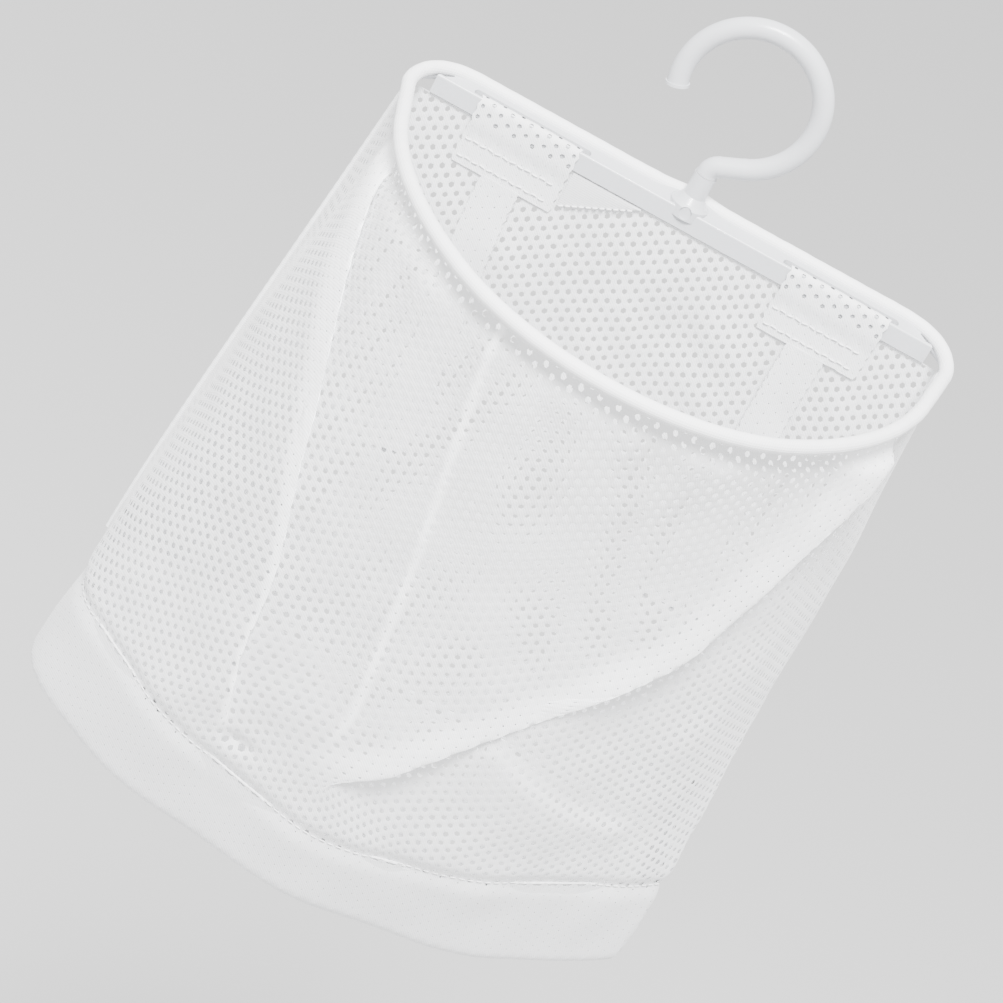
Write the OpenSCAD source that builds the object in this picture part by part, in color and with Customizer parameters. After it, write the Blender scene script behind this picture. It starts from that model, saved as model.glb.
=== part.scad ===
// Hanging mesh laundry bag: swivel hook, moulded hanger with a D-shaped hoop, and a net bag hung in it.
// Millimetres, +Z up. X runs along the hanger's bar, the mouth opens towards -Y.
// The origin is where the hook's crown rests on a rail.

/* [Hook] */
// Radius of the hook's crown, to the middle of its rod
hook_radius = 33; // [20:1:60]
// Thickness of the hook's rod
hook_rod = 10; // [6:0.5:14]
// Angle below level where the crown runs into the slope of the hook
hook_start = 65; // [45:1:80]
// Angle past level where the hook's tip ends
hook_tip = 15; // [0:1:40]
// Rim thickness at the hook's tip
tip_rim = 1.4; // [0.5:0.1:4]
// Radius of the shank that turns in the hanger's neck
shank_radius = 3; // [2:0.25:4]
// Radius of the head that keeps the shank in
head_radius = 4.6; // [3.5:0.1:5]
// Distance from the crown's middle down to the bar's top
hook_drop = 55; // [50:1:90]

/* [Hanger] */
// Half the width of the hoop, to the middle of its rod
hoop_half_width = 133; // [80:1:200]
// Depth of the rounded front of the hoop
hoop_nose = 171; // [60:1:240]
// Distance from the bar's middle to where the hoop starts to round
hoop_flank = 32; // [25:1:80]
// Thickness of the hoop's rod
hoop_rod = 4.6; // [3:0.2:8]
// Radius of the hoop's rear corners
corner_radius = 28; // [12:1:40]
// Angle by which the hoop's sides splay outwards towards the rear corners
splay = 10; // [0:1:20]
// Depth of the bar, front to back
bar_depth = 16; // [12:1:30]
// Height of the bar
bar_height = 12; // [8:1:20]
// Wall thickness of the bar
bar_wall = 2.2; // [1.5:0.1:4]
// Radius of the bar's rounded rear top edge
bar_round = 3.5; // [2.5:0.5:5]
// How far the bar's front lip lies below its rear edge
lip_drop = 2.5; // [1:0.1:5]
// Height of the neck above the bar
neck_height = 14; // [6:1:30]
// Radius of the neck
neck_radius = 5.4; // [4.5:0.1:8]
// Length of each slot for a tab
slot_length = 60; // [40:1:80]
// Width of each slot
slot_width = 3.8; // [2:0.1:3.9]
// How far the hoop's middle lies below the bar's top
hoop_below = 5; // [4:0.5:8]
// How far the neck's boss bulges out of the bar's front and back
boss_bulge = 1.6; // [0.5:0.1:4]
// Radius of the round recess in the boss's front
recess_radius = 3; // [1:0.25:3.25]
// Distance from the neck to the middle of each slot
slot_offset = 80; // [50:1:95]

/* [Bag] */
// Height of the bag at its rear wall
rear_height = 288; // [150:1:400]
// How much lower the front of the bag hangs than its rear
front_drop = 40; // [0:1:60]
// Half the width that the bag gains below the hoop
bag_flare = 25; // [0:1:50]
// Length of the bag's straight sides, measured at its foot
foot_flank = 94; // [40:1:120]
// Depth of the rounded front beyond the straight sides, measured at its foot
foot_nose = 56; // [30:1:120]
// Sharpness of the left front corner at the foot, in degrees of arc left out
corner_left = 5; // [0:1:45]
// Sharpness of the right front corner at the foot, in degrees of arc left out
corner_right = 45; // [0:1:45]
// Sideways lean of the bag at its bottom
bag_lean = 13; // [0:1:20]
// Thickness of one layer of net
net = 1.2; // [0.5:0.1:2]
// Height of the turned-up foot of the bag
foot_height = 46; // [10:1:60]
// Rise and fall of the foot's upper edge
foot_wave = 6; // [0:0.5:10]
// Width of each hanging tab
tab_width = 52; // [30:1:58]
// Length of each tab below the bar
tab_drop = 24; // [10:1:60]
// Width of each reinforcing strip on the rear wall
strip_width = 20; // [10:1:40]
// Length of each reinforcing strip
strip_length = 150; // [60:1:240]
// Outer thickness of the binding round the mouth
binding = 6.6; // [5:0.2:10]
// Thickness of the bound seams
seam = 3; // [1:0.2:5]
// Thickness of the cords and raised stitches
stitch = 1.2; // [0.6:0.1:2]

/* [Hidden] */
$fn = 64;
white = [0.93, 0.94, 0.95];
cloth = [0.96, 0.96, 0.96];
thread = [0.99, 0.99, 0.99];

// Clearances: turning fit in the neck, end play, the gap between cloth and its neighbours, and a close fit
turn_gap = 0.05;
end_play = 0.2;
gap = 0.4;
fit = 0.2;
// How far a cut runs past a face, and one run into the next
lap = 1;
// How much thicker a rod is for a short way each side of a joint between two runs, and for how far
cuff_step = 0.1;
cuff_reach = 1;

// Heights, all from the rail at z = 0
crown_z = -hook_radius + hook_rod / 2;
bar_top = crown_z - hook_drop;
bar_bottom = bar_top - bar_height;
neck_top = bar_top + neck_height;
boss_height = 7;
boss_bottom = bar_top - boss_height;
hoop_z = bar_top - hoop_below;
wall_top = hoop_z - binding / 2 - gap;
rear_bottom = bar_bottom - rear_height;

// The hoop's front, as two flank arcs and a nose arc that meet on one tangent
nose_share = 0.805;
nose_radius = nose_share * hoop_half_width;
flank_radius = (pow(hoop_half_width, 2) + pow(hoop_nose, 2) - 2 * hoop_nose * nose_radius)
    / (2 * (hoop_half_width - nose_radius));
meet = atan2(hoop_nose - nose_radius, flank_radius - hoop_half_width);
// The splayed side run, straight from the flank arc to the rear corner's arc
flank_end = [hoop_half_width - flank_radius * (1 - cos(splay)), -hoop_flank - flank_radius * sin(splay)];
corner_y = bar_depth / 2 - binding / 2 - corner_radius;
corner_x = (flank_end[0] * cos(splay) - flank_end[1] * sin(splay) - corner_radius + corner_y * sin(splay))
    / cos(splay);
side_run = (corner_y - corner_radius * sin(splay) - flank_end[1]) / cos(splay);
// How much wider the bag is at its rear corners than at the end of the hoop's flanks
corner_bulge = corner_x + corner_radius - hoop_half_width;
// Where the binding and the hoop's rod end on the rear corners, in degrees from the corner's side
binding_from = 60;
hoop_from = 84;

// Where the hook's slope meets its crown, and the small bend above the neck
bend_slack = 0.6;
bend_radius = hook_rod / 2 + bend_slack;
slope = 90 - hook_start;
slope_x = hook_radius * cos(hook_start);
slope_z = crown_z - hook_radius * sin(hook_start);
bend_z = slope_z - slope_x * tan(slope) - bend_radius * tan(hook_start / 2);
bend_end = [bend_radius * (1 - cos(hook_start)), bend_z + bend_radius * sin(hook_start)];
slope_length = (slope_x - bend_end[0]) / cos(slope);
// The rim at the hook's tip, the shank's head and its lead-in, and the neck's foot
rim_step = 0.6;
head_height = 1.6;
head_taper = 2;
head_lead = 0.4;
neck_flare = 2.2;
neck_flare_height = 3;
boss_round = 1.5;

// Rear wall's plane, just under the bar's front lip
wall_y = -(bar_depth / 2 - bar_wall / 2 - net / 2);
side_y = -(bar_depth / 2 + gap);

// Bag outline: u runs from the left rear corner (0) round the front to the right rear corner (1),
// h runs from the hoop (0) to the bottom (1), and inset moves the outline inwards.
// grow is the share of the change from the hoop's outline to the foot's.
side_share = 0.1;
drape = 0.75;
function grow(h) = pow(h, drape);
function half_width(h) = hoop_half_width + bag_flare * sin(90 * h);
function bulge(u, h) = corner_bulge * (1 - h) * (1 - min(u, 1 - u) / side_share);
function flank(h) = hoop_flank + (foot_flank - hoop_flank) * grow(h);
function nose(h) = hoop_nose + (foot_nose - hoop_nose) * grow(h);
function corner(u, h) = (u < 0.5 ? corner_left : corner_right) * grow(h);
// Angle round the front: from the left corner (180) through the middle (270) to the right corner (360)
function turn(u, a) = let (v = 2 * (u - side_share) / (1 - 2 * side_share))
    v < 1 ? 180 + a + (90 - a) * v : 270 + (90 - a) * (v - 1);
function side_point(u, h, inset) =
    side_y - (flank(h) - inset / 2 + side_y) * min(u, 1 - u) / side_share;
function front_point(t, a, h, inset) = [(half_width(h) - inset) * cos(t) / cos(a),
    -(flank(h) - inset / 2) + (nose(h) - inset / 2) * (sin(t) + sin(a)) / (1 - sin(a))];
function outline(u, h, inset) =
    u < side_share ? [-half_width(h) - bulge(u, h) + inset, side_point(u, h, inset)]
    : u > 1 - side_share ? [half_width(h) + bulge(u, h) - inset, side_point(u, h, inset)]
    : front_point(turn(u, corner(u, h)), corner(u, h), h, inset);
function foot_z(y) = rear_bottom - front_drop * min(1, -y / (foot_flank + foot_nose));
function bag(u, h, inset) =
    let (p = outline(u, h, inset), low = foot_z(outline(u, 1, 0)[1]))
    [p[0] - bag_lean * h, p[1], wall_top + (low - wall_top) * h];
function foot_top(u) =
    1 - (foot_height + foot_wave * sin(720 * u - 90)) / (wall_top - foot_z(outline(u, 1, 0)[1]));

function cell(r, c, cols) = r * cols + c;
// A thin closed wall between two grids of points, given as rows down and columns across
module skin(outer, inner) {
    rows = len(outer);
    cols = len(outer[0]);
    points = concat([for (r = outer) for (p = r) p], [for (r = inner) for (p = r) p]);
    n = rows * cols;
    polyhedron(points = points, convexity = 8, faces = concat(
        [for (r = [0:rows - 2]) for (c = [0:cols - 2]) for (t = [0, 1])
            t == 0 ? [cell(r, c, cols), cell(r, c + 1, cols), cell(r + 1, c, cols)]
                   : [cell(r, c + 1, cols), cell(r + 1, c + 1, cols), cell(r + 1, c, cols)]],
        [for (r = [0:rows - 2]) for (c = [0:cols - 2]) for (t = [0, 1])
            t == 0 ? [n + cell(r, c, cols), n + cell(r + 1, c, cols), n + cell(r, c + 1, cols)]
                   : [n + cell(r, c + 1, cols), n + cell(r + 1, c, cols), n + cell(r + 1, c + 1, cols)]],
        [for (c = [0:cols - 2]) for (t = [0, 1])
            t == 0 ? [cell(0, c, cols), n + cell(0, c, cols), n + cell(0, c + 1, cols)]
                   : [cell(0, c, cols), n + cell(0, c + 1, cols), cell(0, c + 1, cols)]],
        [for (c = [0:cols - 2]) for (t = [0, 1])
            t == 0 ? [cell(rows - 1, c, cols), n + cell(rows - 1, c + 1, cols), n + cell(rows - 1, c, cols)]
                   : [cell(rows - 1, c, cols), cell(rows - 1, c + 1, cols), n + cell(rows - 1, c + 1, cols)]],
        [for (r = [0:rows - 2]) for (t = [0, 1])
            t == 0 ? [cell(r, 0, cols), cell(r + 1, 0, cols), n + cell(r + 1, 0, cols)]
                   : [cell(r, 0, cols), n + cell(r + 1, 0, cols), n + cell(r, 0, cols)]],
        [for (r = [0:rows - 2]) for (t = [0, 1])
            t == 0 ? [cell(r, cols - 1, cols), n + cell(r + 1, cols - 1, cols), cell(r + 1, cols - 1, cols)]
                   : [cell(r, cols - 1, cols), n + cell(r, cols - 1, cols),
                      n + cell(r + 1, cols - 1, cols)]]));
}

// A round cord along a path, with each section spanned by the directions a and b
cord_sides = 8;
module cord(path, radius, across) {
    sides = cord_sides;
    rings = len(path);
    points = [for (i = [0:rings - 1]) for (k = [0:sides - 1])
        path[i] + radius * (cos(360 * k / sides) * across[i][0] + sin(360 * k / sides) * across[i][1])];
    polyhedron(points = points, convexity = 6, faces = concat(
        [[for (k = [0:sides - 1]) k]],
        [[for (k = [sides - 1:-1:0]) (rings - 1) * sides + k]],
        [for (i = [0:rings - 2]) for (k = [0:sides - 1]) for (t = [0, 1])
            let (a = i * sides + k, b = i * sides + (k + 1) % sides)
            t == 0 ? [a, a + sides, b + sides] : [a, b + sides, b]]));
}

// A short sleeve over a joint between two runs, along Y
module cuff(outer, inner) rotate([90, 0, 0]) difference() {
    cylinder(r = outer + cuff_step, h = 2 * cuff_reach, center = true);
    if (inner > 0) cylinder(r = inner - cuff_step / 2, h = 3 * cuff_reach, center = true);
}

// The whole D-shaped run of the hoop, swept with a round or ring-shaped section
module hoop_run(outer, inner, from) {
    module section() difference() {
        circle(r = outer);
        if (inner > 0) circle(r = inner);
    }
    module bend(radius, start, sweep) rotate([0, 0, start]) rotate_extrude(angle = sweep)
        translate([radius, 0]) section();
    translate([0, 0, hoop_z]) {
        for (s = [0, 1]) mirror([s, 0, 0]) {
            translate([corner_x, corner_y, 0]) {
                bend(corner_radius, -splay, splay + from);
                rotate([0, 0, -splay]) translate([corner_radius, 0, 0]) {
                    cuff(outer, inner);
                    rotate([90, 0, 0]) linear_extrude(height = side_run) section();
                    translate([0, -side_run, 0]) cuff(outer, inner);
                }
            }
            translate([hoop_half_width - flank_radius, -hoop_flank, 0]) {
                bend(flank_radius, -meet, meet - splay);
                rotate([0, 0, -meet]) translate([flank_radius, 0, 0]) cuff(outer, inner);
            }
        }
        translate([0, -hoop_flank - hoop_nose + nose_radius, 0])
            bend(nose_radius, -180 + meet, 180 - 2 * meet);
    }
}

module hook() color(white) {
    // crown, slope and the bend above the neck
    translate([0, 0, crown_z]) rotate([90, 0, 0]) rotate([0, 0, -hook_start])
        rotate_extrude(angle = 180 + hook_start + hook_tip) translate([hook_radius, 0]) circle(d = hook_rod);
    translate([bend_end[0], 0, bend_end[1]]) rotate([0, 90 - slope, 0]) {
        cylinder(d = hook_rod, h = slope_length);
        translate([0, 0, -cuff_reach / 4]) cylinder(r = hook_rod / 2 + cuff_step, h = cuff_reach);
        translate([0, 0, slope_length - cuff_reach])
            cylinder(r = hook_rod / 2 + cuff_step, h = 2 * cuff_reach);
    }
    translate([bend_radius, 0, bend_z]) rotate([90, 0, 0]) rotate([0, 0, 180 - hook_start])
        rotate_extrude(angle = hook_start) translate([bend_radius, 0]) circle(d = hook_rod);
    // stem, shank and head
    translate([0, 0, neck_top + end_play]) cylinder(r = hook_rod / 2 + cuff_step,
        h = bend_z - neck_top - end_play + cuff_reach / 4);
    translate([0, 0, boss_bottom - end_play]) rotate_extrude() polygon([
        [0, bend_z - boss_bottom], [shank_radius, bend_z - boss_bottom], [shank_radius, 0],
        [head_radius, 0], [head_radius, -head_height],
        [shank_radius - head_lead, -head_height - head_taper], [0, -head_height - head_taper]]);
    // flat rim at the tip
    translate([-hook_radius * cos(hook_tip), 0, crown_z - hook_radius * sin(hook_tip)])
        rotate([0, 180 - hook_tip, 0]) cylinder(r = hook_rod / 2 + rim_step, h = tip_rim);
}

// Bar in plan: straight, ending inside the bound hoop's corners, and out to their full width where the
// binding stops
module bar_plan() intersection() {
    square([2 * (corner_x + corner_radius + binding), bar_depth], center = true);
    union() {
        square([2 * corner_x, bar_depth], center = true);
        for (s = [0, 1]) mirror([s, 0]) translate([corner_x, corner_y]) {
            circle(r = corner_radius - binding / 2 - gap);
            intersection() {
                circle(r = corner_radius + binding / 2);
                rotate(binding_from + sector_gap) square(2 * corner_radius);
            }
        }
    }
}
sector_gap = 1;

// Bar in section: a channel open below, with a beaded front lip, a low run behind it for the slots, and a
// top that rises to the rounded rear edge
lip_radius = bar_wall / 2;
groove_drop = 3.8;
lip_height = bar_height - lip_drop - lip_radius;
groove_height = bar_height - groove_drop;
module bar_section() difference() {
    union() {
        translate([-bar_depth / 2, 0]) square([bar_wall, lip_height]);
        translate([-bar_depth / 2 + lip_radius, lip_height]) circle(r = lip_radius);
        translate([bar_depth / 2 - bar_round, bar_height - bar_round]) circle(r = bar_round);
        polygon([[-bar_depth / 2 + lip_radius, 0], [bar_depth / 2, 0],
        [bar_depth / 2, bar_height - bar_round],
            [bar_depth / 2 - bar_round, bar_height], [-bar_depth / 2 + bar_wall, groove_height],
            [-bar_depth / 2 + lip_radius, groove_height]]);
    }
    polygon([[-bar_depth / 2 + bar_wall, -lap], [bar_depth / 2 - bar_wall, -lap],
        [bar_depth / 2 - bar_wall, bar_height - bar_round],
        [bar_depth / 2 - bar_round, bar_height - bar_wall],
        [-bar_depth / 2 + bar_wall, groove_height - bar_wall]]);
}

boss_radius = bar_depth / 2 + boss_bulge;
slot_y = -bar_depth / 2 + bar_wall + gap + slot_width / 2;
slot_depth = groove_drop + bar_wall + lap;
recess_depth = 1.2;
recess_z = bar_top - boss_height / 2;
module hanger() color(white) difference() {
    union() {
        intersection() {
            translate([-hoop_half_width - binding, 0, bar_bottom]) rotate([90, 0, 90])
                linear_extrude(height = 2 * (hoop_half_width + binding)) bar_section();
            translate([0, 0, bar_bottom - lap]) linear_extrude(height = bar_height + 2 * lap) bar_plan();
        }
        hoop_run(hoop_rod / 2, 0, hoop_from);
        // neck, its flared foot, and the boss that bulges through the bar's front
        translate([0, 0, bar_top - lap]) cylinder(r = neck_radius, h = neck_height + lap);
        translate([0, 0, bar_top])
            cylinder(r1 = neck_radius + neck_flare, r2 = neck_radius, h = neck_flare_height);
        translate([0, 0, boss_bottom]) cylinder(r = boss_radius, h = boss_height - boss_round);
        translate([0, 0, bar_top - boss_round])
            cylinder(r1 = boss_radius, r2 = boss_radius - boss_round, h = boss_round);
    }
    translate([0, 0, boss_bottom - lap])
        cylinder(r = shank_radius + turn_gap, h = neck_top - boss_bottom + 2 * lap);
    for (s = [-1, 1]) translate([s * slot_offset, slot_y, bar_top - slot_depth]) {
        half = (slot_length - slot_width) / 2;
        translate([-half, -slot_width / 2, 0]) cube([2 * half, slot_width, slot_depth + lap]);
        for (e = [-1, 1]) translate([e * half, 0, 0]) cylinder(d = slot_width, h = slot_depth + lap);
    }
    translate([0, -boss_radius + recess_depth, recess_z]) rotate([90, 0, 0])
        cylinder(r = recess_radius, h = recess_depth + lap);
}

module mouth_binding() color(cloth) hoop_run(binding / 2, hoop_rod / 2 + fit, binding_from);

columns = 60;
rows = 9;
module front_wall() color(cloth) skin(
    [for (r = [0:rows]) [for (c = [0:columns]) bag(c / columns, r / rows, 0)]],
    [for (r = [0:rows]) [for (c = [0:columns]) bag(c / columns, r / rows, net)]]);

// The turned-up margin of the bottom, sewn inside the foot of the front wall
function level(u, share) = foot_top(u) + (1 - foot_top(u)) * share;
module foot_band() color(cloth) skin(
    [for (r = [0:2]) [for (c = [1:columns - 1]) bag(c / columns, level(c / columns, r / 2), net + gap)]],
    [for (r = [0:2]) [for (c = [1:columns - 1]) bag(c / columns, level(c / columns, r / 2), 2 * net + gap)]]);

// Stitched ridge along the upper edge of the turned-up margin, inside the bag
module foot_seam() color(thread) {
    path = [for (c = [2:columns - 2]) bag(c / columns, foot_top(c / columns), 2 * net + gap + stitch)];
    steps = [for (i = [0:len(path) - 1])
        path[min(i + 1, len(path) - 1)] - path[max(i - 1, 0)]];
    cord(path, stitch / 2, [for (t = steps) [[-t[1], t[0], 0] / norm([t[0], t[1]]), [0, 0, 1]]]);
}

function floor_point(p, up) = [p[0] - bag_lean, p[1], foot_z(p[1]) + gap + up];
module bottom_panel() color(cloth) {
    rim = [for (c = [0:columns]) outline(c / columns, 1, 2 * net + 3 * gap)];
    n = len(rim);
    polyhedron(points = concat([for (p = rim) floor_point(p, 0)], [for (p = rim) floor_point(p, net)]),
        convexity = 4, faces = concat(
            [for (k = [1:n - 2]) [0, k + 1, k]],
            [for (k = [1:n - 2]) [n, n + k, n + k + 1]],
            [for (k = [0:n - 1]) [k, (k + 1) % n, n + (k + 1) % n]],
            [for (k = [0:n - 1]) [k, n + (k + 1) % n, n + k]]));
}

// Half-outline of the rear wall at height share h, a little inside the front wall's ends
edge_gap = 1.5;
function rear_edge(h, s) = [s * (half_width(h) + bulge(0, h) - edge_gap) - bag_lean * h,
    (bar_bottom - 2 * gap) + (rear_bottom - bar_bottom + 2 * gap) * h];
module rear_wall() color(cloth) translate([0, wall_y + net / 2, 0]) rotate([90, 0, 0])
    linear_extrude(height = net)
        polygon(concat([for (r = [0:rows]) rear_edge(r / rows, -1)],
                       [for (r = [rows:-1:0]) rear_edge(r / rows, 1)]));

// The bound seams stand a little outside and below the rear wall's edges
seam_out = 2.2;
module side_seam(s) color(cloth) {
    path = [for (r = [0:rows]) let (p = rear_edge(r / rows, s))
        [p[0] + s * (seam / 2 + seam_out), wall_y + seam / 2, p[1] - seam]];
    cord(path, seam / 2, [for (p = path) [[s, 0, 0], [0, s, 0]]]);
}
module side_seam_left() side_seam(-1);
module side_seam_right() side_seam(1);

module rear_foot_seam() color(cloth)
    translate([-bag_lean, wall_y, rear_bottom - gap - seam / 2]) rotate([0, 90, 0])
        cylinder(d = seam, h = 2 * (half_width(1) - edge_gap), center = true, $fn = 24);

// A tab loops over the bar's front lip, down through the slot, and is sewn to both sides of the rear wall.
// Each point of its inner face has the direction in which its outer face lies.
tab_net = 1;
tab_join = 8;
lip_join = 2;
slot_join = 4;
tab_foot = bar_bottom - tab_drop;
cloth_front = wall_y - net / 2 - fit;
cloth_back = wall_y + net / 2 + fit;
lip_front = -bar_depth / 2 - gap;
tab_in = slot_y - tab_net / 2;
tab_line = concat(
    [[[cloth_front, tab_foot], [-1, 0]], [[cloth_front, bar_bottom - tab_join], [-1, 0]],
     [[lip_front, bar_bottom - lip_join], [-1, 0]]],
    [for (a = [0:18:90]) [[-bar_depth / 2 + lip_radius - (lip_radius + gap) * cos(a),
        bar_bottom + lip_height + (lip_radius + gap) * sin(a)], [-cos(a), sin(a)]]],
    [[[tab_in, bar_bottom + lip_height], [1, 0]], [[tab_in, bar_bottom - slot_join], [1, 0]],
     [[cloth_back, bar_bottom - tab_join], [1, 0]], [[cloth_back, tab_foot], [1, 0]]]);
module tab(s) color(cloth)
    translate([s * slot_offset - tab_width / 2, 0, 0]) rotate([90, 0, 90]) linear_extrude(height = tab_width)
        polygon(concat([for (p = tab_line) p[0]],
            [for (i = [len(tab_line) - 1:-1:0]) tab_line[i][0] + tab_net * tab_line[i][1]]));
module tab_left() tab(-1);
module tab_right() tab(1);

module strip(s) color(cloth)
    translate([s * slot_offset - strip_width / 2, cloth_front - tab_net, tab_foot - gap - strip_length])
        cube([strip_width, tab_net, strip_length]);
module strip_left() strip(-1);
module strip_right() strip(1);

// Two rows of stitching across each tab where it is sewn to the rear wall
stitch_margin = 3;
stitch_from = 11;
stitch_step = 9;
module tab_stitches(s) color(thread) for (row = [0, 1])
    translate([s * slot_offset, cloth_front - tab_net - (stitch + fit) / 2,
               bar_bottom - stitch_from - row * stitch_step])
        rotate([0, 90, 0])
            cylinder(d = stitch, h = tab_width - 2 * stitch_margin, center = true, $fn = 16);
module tab_stitches_left() tab_stitches(-1);
module tab_stitches_right() tab_stitches(1);

// Plain woven facing on the rear wall's top edge, beside the left tab
facing_start = -slot_offset + tab_width / 2 + 1;
facing_length = 35;
facing_drop = 18;
facing_gap = 1;
module hem_facing() color(cloth)
    translate([0, cloth_front, bar_bottom - facing_gap]) rotate([90, 0, 0]) linear_extrude(height = tab_net)
        polygon([[facing_start, 0], [facing_start + facing_length, 0], [facing_start, -facing_drop]]);

hook();
hanger();
mouth_binding();
front_wall();
rear_wall();
bottom_panel();
foot_band();
foot_seam();
side_seam_left();
side_seam_right();
rear_foot_seam();
tab_left();
tab_right();
tab_stitches_left();
tab_stitches_right();
strip_left();
strip_right();
hem_facing();
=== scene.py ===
"""Looks of the hanging mesh laundry bag, in metres.

The hook and the hanger keep their CAD meshes and get a plastic finish. The net, tape and thread built here
stand for the CAD's plain soft solids. The net is a real mesh of strands with open holes.
"""
import math
from collections import namedtuple

import bpy
import numpy as np
from mathutils import Matrix, Vector


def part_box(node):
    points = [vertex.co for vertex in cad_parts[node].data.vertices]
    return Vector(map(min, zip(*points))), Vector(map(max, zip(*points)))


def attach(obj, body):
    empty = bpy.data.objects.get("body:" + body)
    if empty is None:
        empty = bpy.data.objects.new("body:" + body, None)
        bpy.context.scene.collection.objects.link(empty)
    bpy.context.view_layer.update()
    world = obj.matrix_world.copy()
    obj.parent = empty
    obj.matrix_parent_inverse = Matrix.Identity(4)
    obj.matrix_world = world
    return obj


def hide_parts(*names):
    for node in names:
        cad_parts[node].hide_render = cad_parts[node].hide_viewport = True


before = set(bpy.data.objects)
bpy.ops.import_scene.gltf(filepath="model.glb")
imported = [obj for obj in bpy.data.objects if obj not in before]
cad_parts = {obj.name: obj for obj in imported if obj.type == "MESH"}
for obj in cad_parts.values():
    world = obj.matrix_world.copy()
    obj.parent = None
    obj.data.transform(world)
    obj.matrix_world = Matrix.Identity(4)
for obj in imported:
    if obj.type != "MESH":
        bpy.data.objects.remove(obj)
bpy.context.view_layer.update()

# ---------------------------------------------------------------- sizes, as in the CAD or from its boxes
MM = 0.001
rear_lo, rear_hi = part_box("rear_wall")
front_lo, front_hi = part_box("front_wall")
tab_lo, tab_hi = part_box("tab_left")
bind_lo, bind_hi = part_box("mouth_binding")
strip_lo, strip_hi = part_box("strip_left")
seam_lo, seam_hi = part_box("rear_foot_seam")
face_lo, face_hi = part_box("hem_facing")

# the hoop round the mouth: flank arcs and a nose arc on one tangent, splayed sides and round rear corners
BINDING_R = (bind_hi.z - bind_lo.z) / 2 - 0.1 * MM  # the tape lies just inside the CAD's
HOOP_Z = (bind_hi.z + bind_lo.z) / 2
HOOP_HALF = 133 * MM  # half of the mouth's width at its flanks
HOOP_FLANK = 32 * MM  # how far in front of the origin the flanks are
HOOP_NOSE = -bind_lo.y - BINDING_R - HOOP_FLANK
HOOP_CORNER = 28 * MM
SPLAY = math.radians(10)
NOSE_SHARE = 0.805  # the nose arc's radius as a share of that half width
NOSE_R = NOSE_SHARE * HOOP_HALF
FLANK_R = (HOOP_HALF ** 2 + HOOP_NOSE ** 2 - 2 * HOOP_NOSE * NOSE_R) / (2 * (HOOP_HALF - NOSE_R))
MEET = math.atan2(HOOP_NOSE - NOSE_R, FLANK_R - HOOP_HALF)
FLANK_END_X = HOOP_HALF - FLANK_R * (1 - math.cos(SPLAY))
FLANK_END_Y = -HOOP_FLANK - FLANK_R * math.sin(SPLAY)

# the bar that closes the mouth at the rear
BAR_DEPTH = 16 * MM
BAR_HEIGHT = 12 * MM
HOOP_BELOW = 5 * MM  # from the bar's top to the hoop's middle line
BAR_TOP = HOOP_Z + HOOP_BELOW
BAR_BOTTOM = BAR_TOP - BAR_HEIGHT
CORNER_Y = BAR_DEPTH / 2 - BINDING_R - HOOP_CORNER
CORNER_X = ((FLANK_END_X * math.cos(SPLAY) - FLANK_END_Y * math.sin(SPLAY) - HOOP_CORNER
             + CORNER_Y * math.sin(SPLAY)) / math.cos(SPLAY))
BULGE = CORNER_X + HOOP_CORNER - HOOP_HALF  # how much wider the mouth is at its rear corners than its flanks

# the bag's cloth
WALL_TOP = front_hi.z
WALL_Y = (rear_lo.y + rear_hi.y) / 2
SIDE_Y = front_hi.y
REAR_TOP = rear_hi.z
REAR_BOTTOM = rear_lo.z
FRONT_DROP = REAR_BOTTOM - front_lo.z  # how much lower the foot is at the front
LEAN = 13 * MM  # how far the foot hangs to the left
FLARE = 25 * MM  # how much wider the foot is on each side
FOOT_FLANK = 94 * MM  # the foot's outline: how far forward its sides run, and how far its nose adds to that
FOOT_NOSE = 56 * MM
CORNER_LEFT = math.radians(5)  # how much of the arc the foot's front corners leave out
CORNER_RIGHT = math.radians(45)
DRAPE = 0.75  # how soon on its way down the mouth's outline turns into the foot's
SIDE_SHARE = 0.1  # the share of the outline that each side run takes
FOOT_HEIGHT = 46 * MM
FOOT_WAVE = 6 * MM
DRAW_IN = 4 * MM  # the left side hangs this far inside a straight run, half way down
DRAW_REACH = 0.35  # the share of a wall's width over which that dies out
CELL = (4.8 * MM, 5.8 * MM)  # the net's pitch across and down
HOLE = 0.46  # a hole's width as a share of its mesh's
STRAND = 0.5 * MM  # the net's thickness
TAB_X = -(tab_lo.x + tab_hi.x) / 2
TAB_WIDTH = tab_hi.x - tab_lo.x

SIDES = ((-1, "left"), (1, "right"))
TINY = 1e-12  # guards a division by a length
rng = np.random.default_rng(7)  # the uneven knit


# ---------------------------------------------------------------- curves and smooth noise
WAVE_COUNT = 7  # sine waves in a random field
WAVE_LENGTHS = (0.8, 1.6)  # the range of their lengths, in bump sizes
WAVE_PEAK = 1.4  # about how high their sum reaches, over the root of their count


def smooth(x, a, b):
    """0 up to a, 1 from b on, and an even ease between them."""
    t = np.clip((x - a) / (b - a), 0, 1)
    return t * t * (3 - 2 * t)


def waves(x, y, size, seed):
    """A smooth random field of the two coordinates, about -1 to 1, with bumps of about the given size."""
    draw = np.random.default_rng(seed)
    total = np.zeros(np.broadcast(x, y).shape)
    for _ in range(WAVE_COUNT):
        turn, phase = draw.uniform(0, 2 * np.pi, 2)
        pitch = 2 * np.pi / (size * draw.uniform(*WAVE_LENGTHS))
        total += np.sin(pitch * (x * np.cos(turn) + y * np.sin(turn)) + phase)
    return total / WAVE_COUNT ** 0.5 / WAVE_PEAK


def ripple(x, y, size, height, seed, squeeze=1.0):
    """Waves of a given height. A squeeze below 1 draws them out along y."""
    return waves(x, y * squeeze, size, seed) * height


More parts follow.
